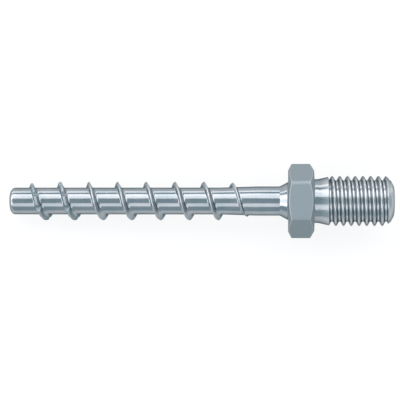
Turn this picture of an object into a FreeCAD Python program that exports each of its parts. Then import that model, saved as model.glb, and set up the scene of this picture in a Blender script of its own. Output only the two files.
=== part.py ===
# Concrete screw: a self-cutting anchor shank, a hexagon collar and a threaded stud, in one piece.
import FreeCAD, Part
import math
import os

# Lengths are in millimetres and angles in degrees.
# The screw's axis is X, with the tip at -X and the stud at +X. X = 0 is the seat under the collar.

# Anchor shank
anchor_length = 55.0
core_diameter = 5.28
tip_chamfer_length = 0.7
tip_chamfer_angle = 52.0
shank_diameter = 5.72
shank_length = 6.1
shank_taper_length = 6.8

# Coarse thread that cuts its own way into the drilled hole
anchor_thread_diameter = 7.56
anchor_thread_pitch = 5.67
anchor_thread_tip_flank = 20.0
anchor_thread_collar_flank = 25.0
anchor_thread_tip_gap = 2.3
anchor_thread_rise_turns = 0.75
anchor_thread_collar_gap = 6.9
anchor_thread_runout_turns = 1.2
anchor_thread_first_angle = -149.0

# Notches that make saw teeth of the first turns
notches_per_turn = 6
notched_turns = 1.75
notch_first_angle = 30.0
notch_depth = 0.62
notch_bottom_width = 0.25
notch_flare_angle = 38.0

# Collar and the cone that backs it
collar_across_flats = 13.0
collar_height = 5.2
collar_corner_diameter = 14.5
collar_seat_diameter = 11.9
collar_seat_chamfer_angle = 26.0
collar_top_diameter = 11.8
collar_top_chamfer_angle = 30.0
cone_length = 1.5
cone_angle = 30.0

# Stud with a fine thread, which a nut or coupler takes
stud_length = 15.7
neck_diameter = 8.56
neck_length = 0.7
flare_diameter = 9.3
flare_length = 1.65
stud_root_diameter = 8.08
stud_thread_diameter = 9.74
stud_thread_pitch = 1.5
stud_thread_flank = 30.0
stud_thread_first_angle = 22.0
stud_thread_overlap = 0.3
stud_thread_rise_turns = 0.5
stud_lead_length = 1.45
stud_point_length = 0.85
stud_end_diameter = 5.0

# Helical edges: how many points a turn has, and how many of its steps one face spans.
# A ridge is rooted this deep in the metal below it.
points_per_turn = 24
patch_steps = 8
ridge_root = 0.25

# Places along the axis and radii that follow from the sizes
tip_x = -anchor_length
core_radius = core_diameter / 2
shank_radius = shank_diameter / 2
taper_end_x = -shank_length
taper_start_x = taper_end_x - shank_taper_length
cone_start_x = -cone_length
seat_cone_radius = shank_radius + cone_length * math.tan(math.radians(cone_angle))
flare_start_x = collar_height + neck_length
flare_end_x = flare_start_x + flare_length
stud_end_x = collar_height + stud_length
stud_point_x = stud_end_x - stud_point_length
x_axis = FreeCAD.Vector(1, 0, 0)


def point(x, radius, angle=0.0):
    """A point at a radius from the axis. Angle 0 is +Y and 90 is +Z, which is right-handed about +X."""
    turn = math.radians(angle)
    return FreeCAD.Vector(x, radius * math.cos(turn), radius * math.sin(turn))


def turned(edges):
    """The solid that an outline of edges makes when it is turned about the axis."""
    face = Part.Face(Part.Wire(edges))
    return face.revolve(FreeCAD.Vector(0, 0, 0), x_axis, 360)


def polyline(points):
    return Part.makePolygon(points).Edges


def anchor_core():
    """Core, taper, plain shank and the cone under the collar, as one turned solid."""
    tip_radius = core_radius - tip_chamfer_length * math.tan(math.radians(tip_chamfer_angle))
    return turned(polyline([
        point(tip_x, 0),
        point(tip_x, tip_radius),
        point(tip_x + tip_chamfer_length, core_radius),
        point(taper_start_x, core_radius),
        point(taper_end_x, shank_radius),
        point(cone_start_x, shank_radius),
        point(0, seat_cone_radius),
        point(collar_height / 2, seat_cone_radius),
        point(collar_height / 2, 0),
        point(tip_x, 0),
    ]))


def core_radius_at(x):
    """Radius of the metal under the coarse thread, which follows the shank's taper."""
    share = (x - taper_start_x) / (taper_end_x - taper_start_x)
    share = min(max(share, 0.0), 1.0)
    return core_radius + share * (shank_radius - core_radius)


def ridge(section, places):
    """A helical ridge. The section lists (offset along the axis, height); each place is (x, base, angle)."""
    faces = []
    for begin in range(0, len(places) - 1, patch_steps):
        span = places[begin:begin + patch_steps + 1]
        edges = []
        for offset, height in section:
            curve = Part.BezierCurve()
            curve.interpolate([[point(x + offset, base + height, angle)] for x, base, angle in span])
            edges.append(curve.toShape())
        for first, second in zip(edges, edges[1:] + edges[:1]):
            faces.append(Part.makeRuledSurface(first, second))
    for x, base, angle in (places[0], places[-1]):
        corners = [point(x + offset, base + height, angle) for offset, height in section]
        faces.append(Part.Face(Part.makePolygon(corners + corners[:1])))
    shell = Part.makeShell(faces)
    shell.sewShape()
    solid = Part.makeSolid(shell)
    if solid.Volume < 0:
        solid.reverse()
    return solid


def ridge_section(height, tip_flank, collar_flank):
    """Section of a ridge: a sharp crest between straight flanks that are rooted below its base."""
    rise = height + ridge_root
    return [
        (-rise * math.tan(math.radians(tip_flank)), -ridge_root),
        (0, height),
        (rise * math.tan(math.radians(collar_flank)), -ridge_root),
    ]


def anchor_thread_places():
    """Where the coarse ridge runs: it rises out of the core at the tip and sinks into it at the shank."""
    height = anchor_thread_diameter / 2 - core_radius
    start_x = tip_x + anchor_thread_tip_gap
    end_x = -anchor_thread_collar_gap
    turns = (end_x - start_x) / anchor_thread_pitch
    steps = math.ceil(turns * points_per_turn)
    places = []
    for step in range(steps + 1):
        turn = turns * step / steps
        x = start_x + turn * anchor_thread_pitch
        risen = min(turn / anchor_thread_rise_turns, 1.0)
        left = min((turns - turn) / anchor_thread_runout_turns, 1.0)
        sunk = height * (1 - math.sin(math.pi / 2 * risen) * math.sin(math.pi / 2 * left))
        places.append((x, core_radius_at(x) - sunk, anchor_thread_first_angle + 360 * turn))
    return places


def anchor_thread():
    """The coarse ridge with saw teeth in its first turns."""
    height = anchor_thread_diameter / 2 - core_radius
    section = ridge_section(height, anchor_thread_tip_flank, anchor_thread_collar_flank)
    return ridge(section, anchor_thread_places()).cut(notches())


def notches():
    """Wedges that open outwards, one for each notch in the crest of the first turns."""
    crest = anchor_thread_diameter / 2
    bottom = crest - notch_depth
    top = crest + notch_depth
    half_bottom = notch_bottom_width / 2
    half_top = half_bottom + (top - bottom) * math.tan(math.radians(notch_flare_angle))
    reach = anchor_thread_pitch / 3
    first_x = tip_x + anchor_thread_tip_gap
    wedges = []
    for number in range(int(notched_turns * notches_per_turn)):
        angle = notch_first_angle + 360 * number / notches_per_turn
        turn = (angle - anchor_thread_first_angle) / 360
        x = first_x + turn * anchor_thread_pitch
        outline = Part.makePolygon([
            FreeCAD.Vector(-reach, bottom, -half_bottom),
            FreeCAD.Vector(-reach, top, -half_top),
            FreeCAD.Vector(-reach, top, half_top),
            FreeCAD.Vector(-reach, bottom, half_bottom),
            FreeCAD.Vector(-reach, bottom, -half_bottom),
        ])
        wedge = Part.Face(outline).extrude(x_axis * (2 * reach))
        wedge.rotate(FreeCAD.Vector(0, 0, 0), x_axis, angle)
        wedge.translate(FreeCAD.Vector(x, 0, 0))
        wedges.append(wedge)
    return Part.makeCompound(wedges)


def collar():
    """Hexagon with two flats level, its corners turned down and both ends chamfered."""
    corner_reach = collar_across_flats / 2 / math.cos(math.radians(30))
    corners = [point(0, corner_reach, 60 * number) for number in range(7)]
    prism = Part.Face(Part.makePolygon(corners)).extrude(x_axis * collar_height)
    corner_radius = collar_corner_diameter / 2
    seat_radius = collar_seat_diameter / 2
    top_radius = collar_top_diameter / 2
    seat_chamfer = (corner_radius - seat_radius) * math.tan(math.radians(collar_seat_chamfer_angle))
    top_chamfer = (corner_radius - top_radius) * math.tan(math.radians(collar_top_chamfer_angle))
    envelope = turned(polyline([
        point(0, 0),
        point(0, seat_radius),
        point(seat_chamfer, corner_radius),
        point(collar_height - top_chamfer, corner_radius),
        point(collar_height, top_radius),
        point(collar_height, 0),
        point(0, 0),
    ]))
    return prism.common(envelope)


def stud():
    """Neck, flare, the stud at its thread's root and the blunt point that starts a nut."""
    inside_x = collar_height / 2
    return turned(polyline([
        point(inside_x, 0),
        point(inside_x, neck_diameter / 2),
        point(flare_start_x, neck_diameter / 2),
        point(flare_end_x, flare_diameter / 2),
        point(flare_end_x, stud_root_diameter / 2),
        point(stud_point_x, stud_root_diameter / 2),
        point(stud_end_x, stud_end_diameter / 2),
        point(stud_end_x, 0),
        point(inside_x, 0),
    ]))


def stud_thread():
    """The fine ridge: it grows out of the flare and follows the lead down to the point."""
    root = stud_root_diameter / 2
    height = stud_thread_diameter / 2 - root
    start_x = flare_end_x - stud_thread_overlap
    turns = (stud_point_x - start_x) / stud_thread_pitch
    steps = math.ceil(turns * points_per_turn)
    places = []
    for step in range(steps + 1):
        turn = turns * step / steps
        x = start_x + turn * stud_thread_pitch
        risen = min(turn / stud_thread_rise_turns, 1.0)
        left = min((stud_point_x - x) / stud_lead_length, 1.0)
        places.append((x, root - height * (1 - min(risen, left)), stud_thread_first_angle + 360 * turn))
    return ridge(ridge_section(height, stud_thread_flank, stud_thread_flank), places)


def concrete_screw():
    blank = anchor_core().fuse([collar(), stud()])
    return blank.fuse([anchor_thread(), stud_thread()])


os.makedirs("parts", exist_ok=True)
screw = concrete_screw()
screw.exportStep("parts/concrete_screw.step")
print("valid", screw.isValid(), "solids", len(screw.Solids), "volume", round(screw.Volume, 1))
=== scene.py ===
import math

import bmesh
import bpy
from mathutils import Matrix, Vector


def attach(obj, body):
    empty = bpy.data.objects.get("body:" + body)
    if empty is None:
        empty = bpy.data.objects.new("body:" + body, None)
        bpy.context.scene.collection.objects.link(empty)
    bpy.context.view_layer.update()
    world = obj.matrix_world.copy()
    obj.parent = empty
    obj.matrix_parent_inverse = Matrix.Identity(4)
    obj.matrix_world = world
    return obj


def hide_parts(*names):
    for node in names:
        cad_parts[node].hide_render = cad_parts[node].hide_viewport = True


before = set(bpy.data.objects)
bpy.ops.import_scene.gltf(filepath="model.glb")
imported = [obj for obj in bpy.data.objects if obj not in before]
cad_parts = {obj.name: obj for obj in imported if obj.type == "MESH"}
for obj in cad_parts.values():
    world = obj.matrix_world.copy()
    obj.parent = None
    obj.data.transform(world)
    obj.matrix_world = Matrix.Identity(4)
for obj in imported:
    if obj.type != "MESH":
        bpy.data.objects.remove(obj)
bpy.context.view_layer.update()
mm = 0.001  # sizes are in millimetres unless a note says otherwise; X is the screw's axis, 0 at its seat


class Wire:
    # A socket, or a tree alone. Python's own signs on it add the Math nodes that they stand for.
    def __init__(self, tree, socket=None):
        self.tree = tree
        self.socket = socket

    def node(self, kind, settings=None, inputs=None, out=0):
        made = self.tree.nodes.new(kind)
        for name, value in (settings or {}).items():
            setattr(made, name, value)
        for name, value in (inputs or {}).items():
            if isinstance(value, Wire):
                self.tree.links.new(value.socket, made.inputs[name])
            else:
                made.inputs[name].default_value = value
        return Wire(self.tree, made.outputs[out] if made.outputs else None)

    def math(self, operation, *others):
        return self.node("ShaderNodeMath", {"operation": operation}, dict(enumerate((self, *others))))

    def __add__(self, other):
        return self.math("ADD", other)

    def __sub__(self, other):
        return self.math("SUBTRACT", other)

    def __rsub__(self, other):
        return self.node("ShaderNodeMath", {"operation": "SUBTRACT"}, {0: other, 1: self})

    def __mul__(self, other):
        return self.math("MULTIPLY", other)

    def __truediv__(self, other):
        return self.math("DIVIDE", other)

    def __pow__(self, other):
        return self.math("POWER", other)

    def __abs__(self):
        return self.math("ABSOLUTE")

    def above(self, other):
        return self.math("GREATER_THAN", other)

    def below(self, other):
        return self.math("LESS_THAN", other)

    def low(self, other):
        return self.math("MINIMUM", other)

    def high(self, other):
        return self.math("MAXIMUM", other)

    def clamp(self):
        return self.low(1.0).high(0.0)

    def ramp(self, start, gain):
        # 0 up to the start, then growing by the gain to 1
        return ((self - start) * gain).clamp()

    __radd__ = __add__
    __rmul__ = __mul__


# The screw's skin is made in bands that meet end to end on one ring of columns
skin = {
    "columns": 144,
    "crowdsPerTurn": 12,  # the columns crowd at the hexagon's corners and at the middle of its flats
    "crowding": 0.5,
    "filletSteps": 4,
    "filletShare": 0.45,  # the most that a fillet takes of a straight stretch
    "filletSupport": 1.1,  # in reaches from the corner: points that hold the shading of the straight stretch
    "weld": 0.0002,  # within a thread's band
    "seamWeld": 0.0004,  # between the bands
    "unmarked": {"rise": 0.2, "worn": 0.0},  # what vertices get in a band that has no such mark
}


def columnTurn(share):
    # where a column stands, in turns from +Y towards +Z, for its share of the ring from 0 to 1
    wave = math.tau * skin["crowdsPerTurn"]
    return share - skin["crowding"] * math.sin(wave * share) / wave


columnTurns = [columnTurn(number / skin["columns"]) for number in range(skin["columns"])]


def fillet(points, steps):
    # Rounds each corner between the ends of an outline of (x, radius, round) points. Corners that stand out
    # of the metal are marked, since they get rubbed.
    made = [(*points[0][:2], 0.0)]
    for before, corner, after in zip(points, points[1:], points[2:]):
        here = Vector(corner[:2])
        back = Vector(before[:2]) - here
        on = Vector(after[:2]) - here
        reach = min(corner[2], back.length * skin["filletShare"], on.length * skin["filletShare"])
        start = here + back.normalized() * reach
        end = here + on.normalized() * reach
        mark = float(back.cross(on) > 0)
        support = reach * skin["filletSupport"]
        made.append((*(here + back.normalized() * support), 0.0))
        for step in range(steps + 1):
            share = step / steps
            made.append((*start.lerp(here, share).lerp(here.lerp(end, share), share), mark))
        made.append((*(here + on.normalized() * support), 0.0))
    made.append((*points[-1][:2], 0.0))
    return made


def turnedBand(name, outlines):
    # a band of the skin from one outline of (x, radius, worn) points for each column
    bm = bmesh.new()
    worn = bm.verts.layers.float.new("worn")
    rings = []
    for turn, outline in zip(columnTurns, outlines):
        across = math.cos(math.tau * turn), math.sin(math.tau * turn)
        ring = []
        for x, radius, mark in outline:
            ring.append(bm.verts.new(Vector((x, radius * across[0], radius * across[1])) * mm))
            ring[-1][worn] = mark
        rings.append(ring)
    for here, following in zip(rings, rings[1:] + rings[:1]):
        for corners in zip(here, here[1:], following[1:], following):
            bm.faces.new(corners)
    made = bpy.data.meshes.new(name)
    bm.to_mesh(made)
    bm.free()
    return made


def threadBand(name, sizes, material, radiusRule):
    # A grid whose rows run along the helix and whose columns are the skin's own, cut off square at both ends
    tree = bpy.data.node_groups.new(name, "GeometryNodeTree")
    sockets = tree.interface
    for label, value in sizes.items():
        sockets.new_socket(label, in_out="INPUT", socket_type="NodeSocketFloat").default_value = value
    sockets.new_socket("Material", in_out="INPUT", socket_type="NodeSocketMaterial")
    sockets.new_socket("Thread", in_out="OUTPUT", socket_type="NodeSocketGeometry")
    pen = Wire(tree)
    group = tree.nodes.new("NodeGroupInput")
    given = {label: Wire(tree, group.outputs[label]) for label in [*sizes, "Material"]}
    pitch = given["Pitch"]
    crestX = given["Crest at angle 0"]

    firstTurn = ((given["From"] - crestX) / pitch).math("FLOOR") - 1.0
    lastTurn = ((given["To"] - crestX) / pitch).math("CEIL")
    turns = lastTurn - firstTurn
    rows = turns * given["Rows per turn"] + 1.5  # one more than the steps, and a half against rounding down
    grid = pen.node("GeometryNodeMeshGrid", None, {
        "Size X": turns, "Size Y": 1.0, "Vertices X": rows, "Vertices Y": skin["columns"] + 1}, "Mesh")

    place = pen.node("GeometryNodeInputPosition")
    gridX = pen.node("ShaderNodeSeparateXYZ", None, {0: place}, "X")
    gridY = pen.node("ShaderNodeSeparateXYZ", None, {0: place}, "Y")
    row = gridX + turns * 0.5 + firstTurn
    share = gridY + 0.5
    wave = math.tau * skin["crowdsPerTurn"]
    turn = share - (share * wave).math("SINE") * (skin["crowding"] / wave)
    ridge = row.math("ROUND")
    aside = row - ridge  # from -0.5 to 0.5 of a pitch
    crowded = (abs(aside) * 2.0) ** given["Row crowding"] * 0.5
    across = crowded * aside.math("SIGN") * pitch
    helix = ridge + turn
    x = (crestX + helix * pitch + across).high(given["From"]).low(given["To"])
    radius, rise = radiusRule(given, {"x": x, "across": across, "helix": helix, "turn": turn})

    angle = turn * math.tau
    where = pen.node("ShaderNodeCombineXYZ", None, {
        "X": x * mm, "Y": radius * angle.math("COSINE") * mm, "Z": radius * angle.math("SINE") * mm})
    marked = pen.node(
        "GeometryNodeStoreNamedAttribute", {"data_type": "FLOAT", "domain": "POINT"},
        {"Geometry": grid, "Name": "rise", "Value": rise})
    moved = pen.node("GeometryNodeSetPosition", None, {"Geometry": marked, "Position": where})
    welded = pen.node("GeometryNodeMergeByDistance", None, {"Geometry": moved, "Distance": skin["weld"] * mm})
    whole = pen.node("GeometryNodeRealizeInstances", None, {"Geometry": welded})
    finished = pen.node("GeometryNodeSetMaterial", None, {"Geometry": whole, "Material": given["Material"]})
    pen.node("NodeGroupOutput", None, {"Thread": finished})

    holder = bpy.data.objects.new(name, bpy.data.meshes.new(name))
    bpy.context.scene.collection.objects.link(holder)
    modifier = holder.modifiers.new(name, "NODES")
    modifier.node_group = tree
    for item in sockets.items_tree:
        if item.in_out == "INPUT":
            modifier[item.identifier] = material if item.name == "Material" else sizes[item.name]
    plain = bpy.data.meshes.new_from_object(holder.evaluated_get(bpy.context.evaluated_depsgraph_get()))
    holder.modifiers.remove(modifier)
    bpy.data.objects.remove(holder)
    return plain


def weldedSkin(name, bands, material):
    # one closed skin from bands that share their end rings
    bm = bmesh.new()
    layers = {label: bm.verts.layers.float.new(label) for label in skin["unmarked"]}
    for band in bands:
        made = [bm.verts.new(vertex.co) for vertex in band.vertices]
        for label, layer in layers.items():
            marks = band.attributes.get(label)
            for number, vertex in enumerate(made):
                vertex[layer] = marks.data[number].value if marks else skin["unmarked"][label]
        for polygon in band.polygons:
            bm.faces.new([made[corner] for corner in polygon.vertices])
    bmesh.ops.remove_doubles(bm, verts=bm.verts, dist=skin["seamWeld"] * mm)
    bmesh.ops.recalc_face_normals(bm, faces=bm.faces)
    openEdges = sum(not edge.is_manifold for edge in bm.edges)
    for face in bm.faces:
        face.smooth = True
    mesh = bpy.data.meshes.new(name)
    bm.to_mesh(mesh)
    bm.free()
    mesh.materials.append(material)
    piece = bpy.data.objects.new(name, mesh)
    bpy.context.scene.collection.objects.link(piece)
    print(name, len(mesh.polygons), "faces, open edges", openEdges)
    return piece


tip = {
    "x": -54.6,
    "faceRadius": 1.95,
    "dome": 0.03,  # how far the middle of the face stands before its rim
    "chamfer": 0.6,
    "round": 0.42,
}


def tipOutline():
    return fillet([
        (tip["x"], 0.0, 0.0),
        (tip["x"] + tip["dome"], tip["faceRadius"], tip["round"]),
        (tip["x"] + tip["chamfer"], anchor["Core radius"], tip["round"]),
        (anchor["From"], anchor["Core radius"], 0.0),
    ], skin["filletSteps"] * 2)


anchor = {  # the coarse thread that cuts its own way into the hole
    "From": -53.25,
    "To": -5.9,
    "Pitch": 5.67,
    "Crest at angle 0": -50.353,
    "Core radius": 2.64,
    "Shank radius": 2.86,
    "Taper from": -12.9,
    "Taper to": -6.1,
    "Crest radius": 3.78,
    "Half tooth": 0.12,  # the notched turns have a flat crest
    "Tip foot": 0.46,  # how far each flank reaches from the crest along the axis
    "Collar foot": 0.72,
    "Tip bevel": 0.24,
    "Tip bevel slope": 0.5,
    "Round crest": 1.25,
    "Hollow feet": 1.7,
    "Ridge from": -52.7,
    "Ridge to": -6.9,
    "Rise turns": 0.75,
    "Run-out turns": 1.2,
    "Notch every": 45.0,  # degrees, as the next
    "First notch": 22.5,
    "Notched from": 0.41,  # turns of the ridge, as the next
    "Notched to": 2.08,
    "Notch depth": 0.62,
    "Notch bottom": 0.125,
    "Notch flare": 38.0,
    "Rows per turn": 28.0,
    "Row crowding": 1.6,  # above 1 the rows crowd at the crest
}


def ridgeTurns(given, helix, label):
    # how many turns the crest has gone since a place along the axis
    return helix - (given[label] - given["Crest at angle 0"]) / given["Pitch"]


def anchorRadius(given, at):
    # a thin ridge that rises at the tip and sinks into the shank, with notches in its first turns
    taper = ((at["x"] - given["Taper from"]) / (given["Taper to"] - given["Taper from"])).clamp()
    core = given["Core radius"] + taper * (given["Shank radius"] - given["Core radius"])
    height = given["Crest radius"] - given["Core radius"]
    along = ridgeTurns(given, at["helix"], "Ridge from")
    notched = along.above(given["Notched from"]) * along.below(given["Notched to"])

    halfTop = given["Half tooth"] * notched
    out = abs(at["across"])
    fall = ((out - halfTop) / (given["Collar foot"] - halfTop)).clamp() ** given["Round crest"]
    hollow = (1.0 - fall) ** given["Hollow feet"]
    aside = (out - halfTop).high(0.0)
    steep = (1.0 - given["Tip bevel"] * given["Tip bevel slope"]) / (given["Tip foot"] - given["Tip bevel"])
    bevelled = (1.0 - aside * given["Tip bevel slope"]).low((given["Tip foot"] - aside) * steep).clamp()
    share = bevelled + at["across"].above(0.0) * (hollow - bevelled)

    left = ridgeTurns(given, at["helix"], "Ridge to") * -1.0
    quarter = math.pi / 2
    risen = (along / given["Rise turns"]).clamp() * quarter
    sinking = (left / given["Run-out turns"]).clamp() * quarter
    sunk = height * (1.0 - risen.math("SINE") * sinking.math("SINE"))
    whole = (core + height * share - sunk).high(core)

    step = given["Notch every"]
    count = (at["turn"] * 360.0 - given["First notch"]) / step
    arc = abs(count - count.math("ROUND")) * step * math.radians(1) * given["Crest radius"]
    opening = (given["Notch flare"] * math.radians(1)).math("TANGENT")
    cut = given["Crest radius"] - given["Notch depth"] + (arc - given["Notch bottom"]).high(0.0) / opening
    clear = 10.0  # lifts the cut off the crest where there are no notches
    toothed = whole.low(cut + (1.0 - notched) * clear).high(core)
    return toothed, (toothed - core) / height


collar = {  # with the cone under it and the start of the neck above it
    "coneFrom": -1.5,
    "coneTopRadius": 3.726,
    "coneRound": 0.1,
    "seatX": 0.12,
    "length": 5.2,
    "acrossFlats": 12.8,
    "cornerRadius": 7.249,
    "cornerSoftness": 0.03,
    "seatRadius": 5.95,
    "seatChamfer": 26.0,
    "topRadius": 5.9,
    "topChamfer": 30.0,
    "edgeRound": 0.14,
    "innerRound": 0.22,
    "flareRound": 0.3,
}


def hexagonReach(turn):
    # from the axis to the hexagon's side, whose corners are turned down with a soft edge
    fromFlat = (turn * 6.0 % 1.0 - 0.5) * math.radians(60)
    side = collar["acrossFlats"] / 2 / math.cos(fromFlat)
    soft = collar["cornerSoftness"]
    apart = (side - collar["cornerRadius"]) / soft
    over = soft * (math.log1p(math.exp(-abs(apart))) + max(apart, 0.0))
    return min(side - over, collar["cornerRadius"])


def collarOutline(turn):
    reach = hexagonReach(turn)
    seatX = collar["seatX"]
    seat = (reach - collar["seatRadius"]) * math.tan(math.radians(collar["seatChamfer"]))
    top = (reach - collar["topRadius"]) * math.tan(math.radians(collar["topChamfer"]))
    length = collar["length"]
    edge = collar["edgeRound"]
    neck = stud["Neck radius"]
    return fillet([
        (anchor["To"], anchor["Shank radius"], 0.0),
        (collar["coneFrom"], anchor["Shank radius"], collar["coneRound"]),
        (seatX, collar["coneTopRadius"], collar["innerRound"]),
        (seatX, collar["seatRadius"], edge),
        (seatX + seat, reach, edge),
        (length - top, reach, edge),
        (length, collar["topRadius"], edge),
        (length, neck, collar["innerRound"]),
        (stud["Flare from"], neck, collar["flareRound"]),
        (stud["From"], neck + (stud["From"] - stud["Flare from"]) * stud["Flare slope"], 0.0),
    ], skin["filletSteps"])


stud = {  # the fine thread
    "From": 6.4,
    "To": 20.05,
    "Pitch": 1.5,
    "Crest at angle 0": 8.68,
    "Crest radius": 4.87,
    "Root radius": 4.04,
    "Half crest": 0.04,
    "Foot": 0.57,
    "Round crest": 1.6,
    "Neck radius": 4.28,
    "Flare from": 5.9,
    "Flare slope": 0.2242,
    "Groove from": 7.9,
    "Groove run-in": 0.18,
    "Lead slope": 0.9,
    "Rows per turn": 20.0,
    "Row crowding": 1.0,
}


def studRadius(given, at):
    # the flare, the crests and the lead are the blank that the thread's groove is rolled into
    x = at["x"]
    neck = given["Neck radius"]
    flare = (neck + (x - given["Flare from"]) * given["Flare slope"]).high(neck)
    lead = given["Root radius"] + (given["To"] - x) * given["Lead slope"]
    blank = flare.low(lead).low(given["Crest radius"])
    depth = given["Crest radius"] - given["Root radius"]
    fall = ((abs(at["across"]) - given["Half crest"]) / (given["Foot"] - given["Half crest"])).clamp()
    groove = depth * fall ** given["Round crest"]
    runIn = ((x - given["Groove from"]) / given["Groove run-in"]).clamp()
    deep = blank.low(given["Crest radius"] - groove * runIn)
    return deep, (deep - given["Root radius"]) / depth


studEnd = {
    "x": 20.7,
    "radius": 2.85,
    "round": 0.4,
}


def studEndOutline():
    return fillet([
        (stud["To"], stud["Root radius"], 0.0),
        (studEnd["x"], studEnd["radius"], studEnd["round"]),
        (studEnd["x"], 0.0, 0.0),
    ], skin["filletSteps"] * 2)


zinc = {
    "dark": (0.29, 0.345, 0.375, 1.0),
    "light": (0.37, 0.4, 0.425, 1.0),
    # painted light: a lighter zinc over the ridges lifts the dark reflection on their collar-side flanks
    "ridge": (0.43, 0.485, 0.515, 1.0),
    # painted shade: a darker zinc on the notched turns stands in for the shade in and beside their notches
    "tooth": (0.24, 0.31, 0.35, 1.0),
    "thread": (0.46, 0.5, 0.525, 1.0),
    "bare": (0.5, 0.51, 0.52, 1.0),
    "forged": (0.302, 0.354, 0.38, 1.0),
    "edgeTint": (0.22, 0.26, 0.28, 1.0),
    # how much of its own colour each place gets, where the notched turns' colour is painted shade
    "paintedNotchShadeShare": 0.85,
    "drawnShare": 0.3,
    "pressedShare": 0.5,
    "rubbedShare": 0.7,
    "edgeWear": 0.8,  # how far the edges are rubbed, where crests are rubbed in full
    # where each starts on its pattern or mark and how fast it grows from there to 1, or how fast alone
    "lightPatches": (0.35, 3.0),
    "drawnLines": (0.4, 3.0),
    "pressedPatches": (0.3, 2.5),
    "rubbedCrests": (0.86, 7.0),
    "rubbedGrains": (0.32, 4.0),
    "ridgeGrowth": 4.0,
    "studGrowth": 700.0,  # per metre along the neck
    # the least roughness, what each place adds to it, and what rubbing takes off
    "polish": 0.085,
    "ridgeRough": 0.27,
    "toothRough": 0.14,
    "studRough": 0.1,
    "forgedRough": 0.36,
    "rubbedSmooth": 0.02,
    "bumpStrength": 0.5,
    "bumpDepth": 0.03,
    "forgedMargin": 0.1,  # how far past the collar's faces its finish goes
    "forgedRing": 0.2,  # how far inside its top face's edge
}

# How tight each pattern is along X, Y and Z, per metre, its noise's detail, and what it adds to the finish.
# They are uneven plating, lines that the drawing of the wire left along it, rings that the rolls left round
# it, and on the forged collar a fine grain and the soft unevenness of a pressed face.
patterns = {
    "mottle": {"tight": (260.0, 420.0, 420.0), "detail": 4.0, "rough": 0.05, "relief": 0.8},
    "drawn": {"tight": (140.0, 4200.0, 4200.0), "detail": 3.0, "rough": 0.05, "relief": 0.35},
    "rolled": {"tight": (5200.0, 240.0, 240.0), "detail": 3.0, "rough": 0.02, "relief": 0.15},
    "grain": {"tight": (5200.0, 5200.0, 5200.0), "detail": 3.0, "rough": 0.14, "relief": 1.2},
    "forging": {"tight": (800.0, 800.0, 800.0), "detail": 2.0, "relief": 3.0},
}


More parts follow.
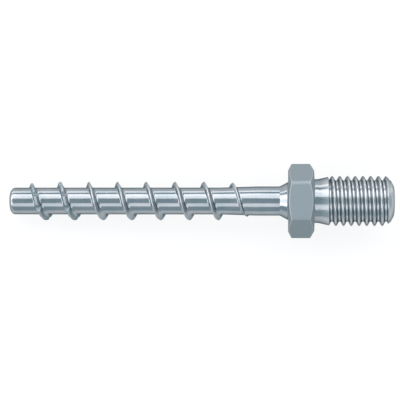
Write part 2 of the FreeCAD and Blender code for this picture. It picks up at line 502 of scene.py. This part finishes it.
def zincPlate():
    # Bright zinc on the drawn and rolled parts, satin on the forged collar, rubbed on crests and edges,
    # lightened on the ridges as painted light and darkened on the notched turns as painted shade
    made = bpy.data.materials.new("zincPlate")
    made.use_nodes = True
    tree = made.node_tree
    tree.nodes.clear()
    pen = Wire(tree)
    place = pen.node("ShaderNodeTexCoord", out="Object")

    def noise(pattern):
        spread = pen.node("ShaderNodeVectorMath", {"operation": "MULTIPLY"}, {0: place, 1: pattern["tight"]})
        return pen.node("ShaderNodeTexNoise", None, {
            "Vector": spread, "Scale": 1.0, "Detail": pattern["detail"]})

    marks = {label: noise(pattern) for label, pattern in patterns.items()}

    def added(finish, *labels, to=0.0):
        return sum((marks[label] * patterns[label][finish] for label in labels), to)

    def mixed(share, one, other):
        return pen.node("ShaderNodeMix", {"data_type": "RGBA"}, {0: share, 6: one, 7: other}, out=2)

    x = pen.node("ShaderNodeSeparateXYZ", None, {0: place}, "X")
    y = pen.node("ShaderNodeSeparateXYZ", None, {0: place}, "Y")
    z = pen.node("ShaderNodeSeparateXYZ", None, {0: place}, "Z")
    reach = (y * y + z * z) ** 0.5
    onCollar = x.above(-zinc["forgedMargin"] * mm) * x.below((collar["length"] + zinc["forgedMargin"]) * mm)
    forged = onCollar * reach.above((collar["topRadius"] - zinc["forgedRing"]) * mm)
    rise = pen.node("ShaderNodeAttribute", {"attribute_name": "rise"}, out="Fac")  # 0 at a root, 1 at a crest
    worn = pen.node("ShaderNodeAttribute", {"attribute_name": "worn"}, out="Fac")

    rubbed = (rise.ramp(*zinc["rubbedCrests"]) + worn * zinc["edgeWear"]).clamp()
    rubbed = rubbed * marks["grain"].ramp(*zinc["rubbedGrains"])
    onStud = x.ramp(stud["From"] * mm, zinc["studGrowth"])
    ridged = rise.ramp(skin["unmarked"]["rise"], zinc["ridgeGrowth"]) * x.below(0.0)
    lastNotch = anchor["Ridge from"] + anchor["Notched to"] * anchor["Pitch"]
    toothed = ridged * x.below(lastNotch * mm)

    plate = mixed(marks["mottle"].ramp(*zinc["lightPatches"]), zinc["dark"], zinc["light"])
    plate = mixed(onStud, plate, zinc["thread"])
    # painted light: the ridges take a lighter colour that lifts the dark reflection on their flanks
    plate = mixed(ridged, plate, zinc["ridge"])
    # painted shade: the notched turns take the darker tooth colour for the shade of their notches
    plate = mixed(toothed * zinc["paintedNotchShadeShare"], plate, zinc["tooth"])
    plate = mixed(marks["drawn"].ramp(*zinc["drawnLines"]) * zinc["drawnShare"], plate, zinc["bare"])
    pressed = marks["forging"].ramp(*zinc["pressedPatches"]) * zinc["pressedShare"]
    plate = mixed(forged, plate, mixed(pressed, zinc["forged"], zinc["dark"]))
    colour = mixed(rubbed * zinc["rubbedShare"], plate, zinc["bare"])
    roughness = added("rough", "mottle", "drawn", "rolled", to=zinc["polish"])
    roughness = roughness + ridged * zinc["ridgeRough"] + toothed * zinc["toothRough"]
    roughness = roughness + onStud * zinc["studRough"]
    roughness = roughness + forged * added("rough", "grain", to=zinc["forgedRough"])
    roughness = roughness - rubbed * zinc["rubbedSmooth"]
    plain = (1.0 - forged) * added("relief", "drawn", "rolled", "mottle")
    relief = plain + forged * added("relief", "grain", "forging")
    bump = pen.node("ShaderNodeBump", None, {
        "Strength": zinc["bumpStrength"], "Distance": zinc["bumpDepth"] * mm, "Height": relief})
    shader = pen.node("ShaderNodeBsdfPrincipled", None, {
        "Base Color": colour, "Metallic": 1.0, "Roughness": roughness, "Specular Tint": zinc["edgeTint"],
        "Normal": bump})
    pen.node("ShaderNodeOutputMaterial", None, {"Surface": shader})
    return made


material = zincPlate()
print("materials made")
bands = [
    turnedBand("tip", [tipOutline()] * skin["columns"]),
    threadBand("coarseThread", anchor, material, anchorRadius),
    turnedBand("collar", [collarOutline(turn) for turn in columnTurns]),
    threadBand("fineThread", stud, material, studRadius),
    turnedBand("studEnd", [studEndOutline()] * skin["columns"]),
]
screw = weldedSkin("concreteScrew", bands, material)
print("screw made")

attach(screw, "root")
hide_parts("concrete_screw")


view = {
    "distance": 285.0,
    "tilt": 3.3,  # the screw rests on its collar and the tip's thread, so it leans by this much
    "overX": -17.13,
    "overY": 0.2,
    "frameWidth": 78.49,  # what the camera sees across at the screw
    "sensor": 36.0,
}

# Floor, light and camera are set square to the way the screw leans
lean = Matrix.Rotation(math.radians(view["tilt"]), 4, "Y")
up = lean @ Vector((0, 0, 1))

studio = {
    "floorReach": 3.0,  # metres from its middle to its sides
    "floorColour": (0.97, 0.97, 0.97, 1.0),
    "floorGlow": 0.8,  # how much of the floor is plain white to the camera and in the metal
    "skyColour": (0.495, 0.6, 0.655, 1.0),
    "lampColour": (1.0, 0.9, 0.89),
}

softboxes = {  # each stands at an angle from straight up towards one side; metres and watts
    "keySoftbox": {"side": (0, 1, 0), "angle": 53.0, "away": 0.6, "size": (3.0, 0.19), "power": 3.9},
    "overheadSoftbox": {"side": (0, 1, 0), "angle": 33.0, "away": 0.6, "size": (3.0, 0.225), "power": 3.5},
    "sideSoftbox": {"side": (0, 1, 0), "angle": 85.0, "away": 0.6, "size": (3.0, 0.12), "power": 2.3},
    "fillSoftbox": {"side": (0, -1, 0), "angle": 33.0, "away": 0.6, "size": (3.0, 0.3), "power": 3.0},
    "tipSoftbox": {"side": (-1, 0, 0), "angle": 62.0, "away": 0.9, "size": (0.9, 0.5), "power": 2.9},
}


def studioFloor():
    bm = bmesh.new()
    bmesh.ops.create_grid(bm, x_segments=1, y_segments=1, size=studio["floorReach"])
    mesh = bpy.data.meshes.new("floor")
    bm.to_mesh(mesh)
    bm.free()
    lowest = min((vertex.co @ up) for vertex in screw.data.vertices)
    mesh.transform(Matrix.Translation(up * lowest) @ lean)
    made = bpy.data.materials.new("paleFloor")
    made.use_nodes = True
    tree = made.node_tree
    tree.nodes.clear()
    pen = Wire(tree)
    rays = "ShaderNodeLightPath"
    seen = pen.node(rays, out="Is Camera Ray").high(pen.node(rays, out="Is Glossy Ray"))
    seen = seen.high(pen.node(rays, out="Is Transmission Ray")) * studio["floorGlow"]
    lit = pen.node("ShaderNodeBsdfDiffuse", None, {"Color": studio["floorColour"]})
    white = pen.node("ShaderNodeEmission", None, {"Color": (1.0, 1.0, 1.0, 1.0), "Strength": 1.0})
    mixed = pen.node("ShaderNodeMixShader", None, {0: seen, 1: lit, 2: white})
    pen.node("ShaderNodeOutputMaterial", None, {"Surface": mixed})
    mesh.materials.append(made)
    piece = bpy.data.objects.new("floor", mesh)
    bpy.context.scene.collection.objects.link(piece)


def softbox(name, box):
    # a soft box over the middle of the view, lying square to the way that it shines
    lamp = bpy.data.lights.new(name, "AREA")
    lamp.shape = "RECTANGLE"
    lamp.size, lamp.size_y = box["size"]
    lamp.energy = box["power"]
    lamp.color = studio["lampColour"]
    piece = bpy.data.objects.new(name, lamp)
    angle = math.radians(box["angle"])
    side = lean @ Vector(box["side"])
    way = side * math.sin(angle) + up * math.cos(angle)
    along = side.cross(up)
    turned = Matrix((along, way.cross(along), way)).transposed().to_4x4()
    middle = Vector((view["overX"] * mm, 0, 0))
    piece.matrix_world = Matrix.Translation(middle + way * box["away"]) @ turned
    bpy.context.scene.collection.objects.link(piece)


def paleSky():
    world = bpy.data.worlds.new("studio")
    world.use_nodes = True
    background = world.node_tree.nodes["Background"]
    background.inputs["Color"].default_value = studio["skyColour"]
    background.inputs["Strength"].default_value = 1.0
    bpy.context.scene.world = world


def camera():
    made = bpy.data.cameras.new("camera")
    piece = bpy.data.objects.new("camera", made)
    made.sensor_width = view["sensor"]
    made.lens = view["sensor"] * view["distance"] / view["frameWidth"]
    made.clip_start = 0.01
    made.clip_end = 20.0
    place = Vector((view["overX"], view["overY"], 0)) * mm + up * view["distance"] * mm
    piece.matrix_world = Matrix.Translation(place) @ lean
    bpy.context.scene.collection.objects.link(piece)
    bpy.context.scene.camera = piece


studioFloor()
for name, box in softboxes.items():
    softbox(name, box)
paleSky()
camera()
bpy.context.scene.view_settings.view_transform = "Standard"
print("studio set")
